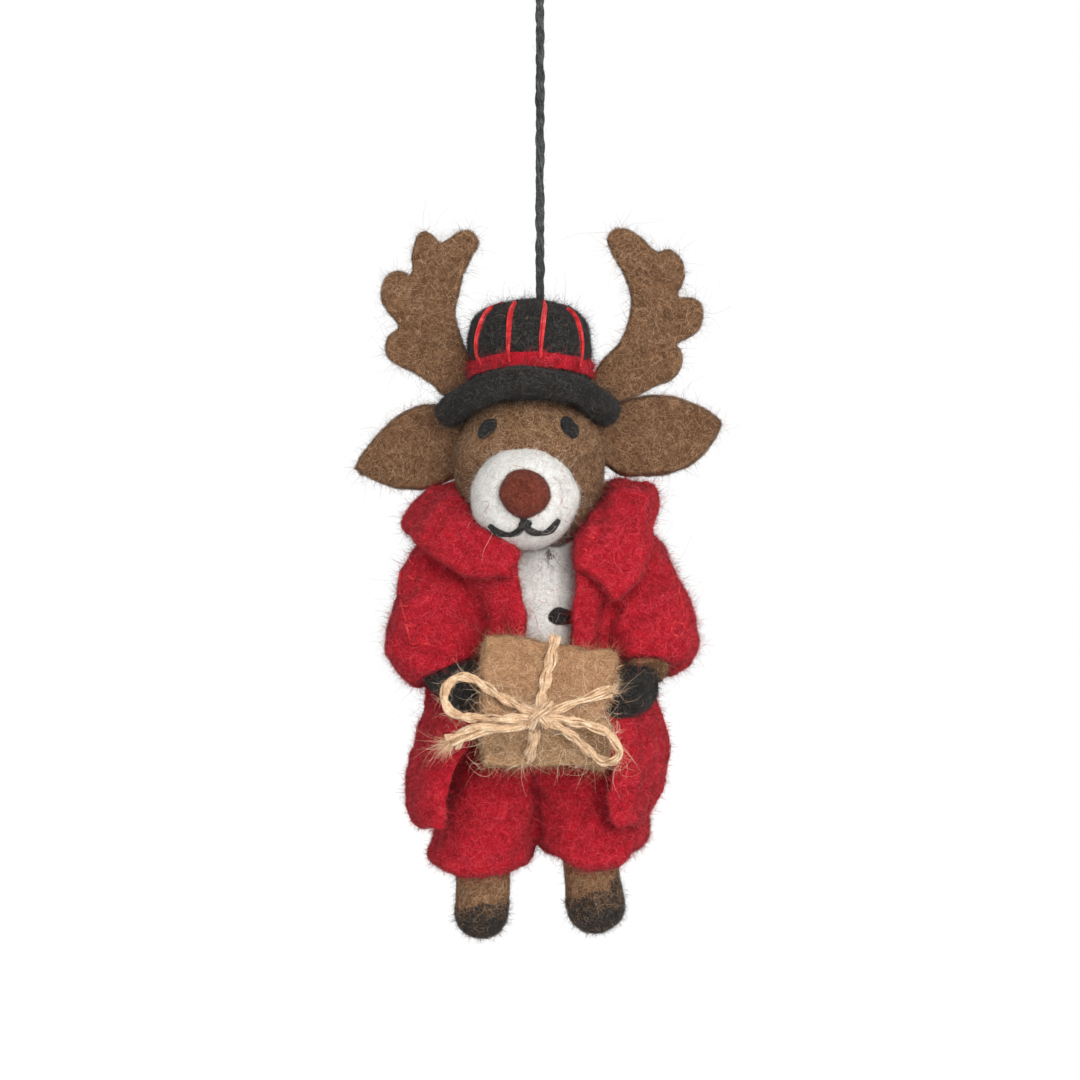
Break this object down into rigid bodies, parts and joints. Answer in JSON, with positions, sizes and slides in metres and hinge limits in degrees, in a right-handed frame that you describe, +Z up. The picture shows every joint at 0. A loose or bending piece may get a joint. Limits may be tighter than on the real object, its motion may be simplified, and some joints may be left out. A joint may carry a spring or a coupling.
{
  "type": "hanging felt ornament",
  "caption": "Stuffed wool felt reindeer in a hat, coat and trousers, holding a parcel tied with jute twine, hanging on a dark yarn cord with a loop.",
  "frame": {"origin": "the point inside the hanging loop that bears on a hook or a branch", "axes": "+Z up along the taut cord, -Y the way the figure faces, +X to the viewer's right"},
  "size_m": [0.067, 0.0543, 0.207],
  "materials": {
    "brown_felt": "mottled wool felt, fuzzy",
    "black_felt": "wool felt, fuzzy",
    "white_felt": "wool felt, fuzzy",
    "red_felt": "thick wool felt, fuzzy",
    "russet_felt": "wool felt, fuzzy",
    "red_floss": "six-strand embroidery floss",
    "tan_felt": "mottled wool felt, fuzzy",
    "jute": "twisted jute twine",
    "dark_cord": "two-strand twisted yarn"
  },
  "bodies": {
    "loop": {"hanging_loop": "dark_cord"},
    "knot": {"loop_knot": "dark_cord"},
    "cord": {"cord": "dark_cord"},
    "figure": {"cord_anchor": "dark_cord", "head": "brown_felt", "muzzle": "white_felt", "nose": "russet_felt", "mouth": "black_felt", "eye_left": "black_felt", "eye_right": "black_felt", "ear_left": "brown_felt", "ear_right": "brown_felt", "antler_left": "brown_felt", "antler_right": "brown_felt", "hat_crown": "black_felt", "hat_band": "red_felt", "hat_brim": "black_felt", "hat_stripe_1": "red_floss", "hat_stripe_2": "red_floss", "hat_stripe_3": "red_floss", "hat_stripe_4": "red_floss", "hat_stripe_5": "red_floss", "hat_stripe_6": "red_floss", "hat_stripe_7": "red_floss", "hat_stripe_8": "red_floss", "hat_stripe_9": "red_floss", "hat_stripe_10": "red_floss", "torso": "white_felt", "button": "black_felt", "trousers": "red_felt", "coat_front_left": "red_felt", "coat_front_right": "red_felt", "coat_back": "red_felt", "lapel_left": "red_felt", "lapel_right": "red_felt", "parcel": "tan_felt", "arm_left": "brown_felt", "arm_right": "brown_felt", "sleeve_left": "red_felt", "sleeve_right": "red_felt", "hoof_front_left": "black_felt", "hoof_front_right": "black_felt", "leg_left": "brown_felt", "leg_right": "brown_felt", "hoof_rear_left": "black_felt", "hoof_rear_right": "black_felt", "twine_wrap": "jute", "bow_knot": "jute", "bow_loop_left": "jute", "bow_loop_right": "jute", "bow_tail_left": "jute", "bow_tail_right": "jute"}
  },
  "joints": [
    {"name": "sway", "type": "hinge", "parent": "loop", "child": "knot", "pos_m": [0, 0, -0.0223], "axis": [0, 1, 0], "range_deg": [-30, 30]},
    {"name": "swing", "type": "hinge", "parent": "knot", "child": "cord", "pos_m": [0, 0, -0.0223], "axis": [1, 0, 0], "range_deg": [-45, 45]},
    {"name": "turn", "type": "hinge", "parent": "cord", "child": "figure", "pos_m": [0, 0, -0.0933], "axis": [0, 0, 1], "continuous": true}
  ]
}
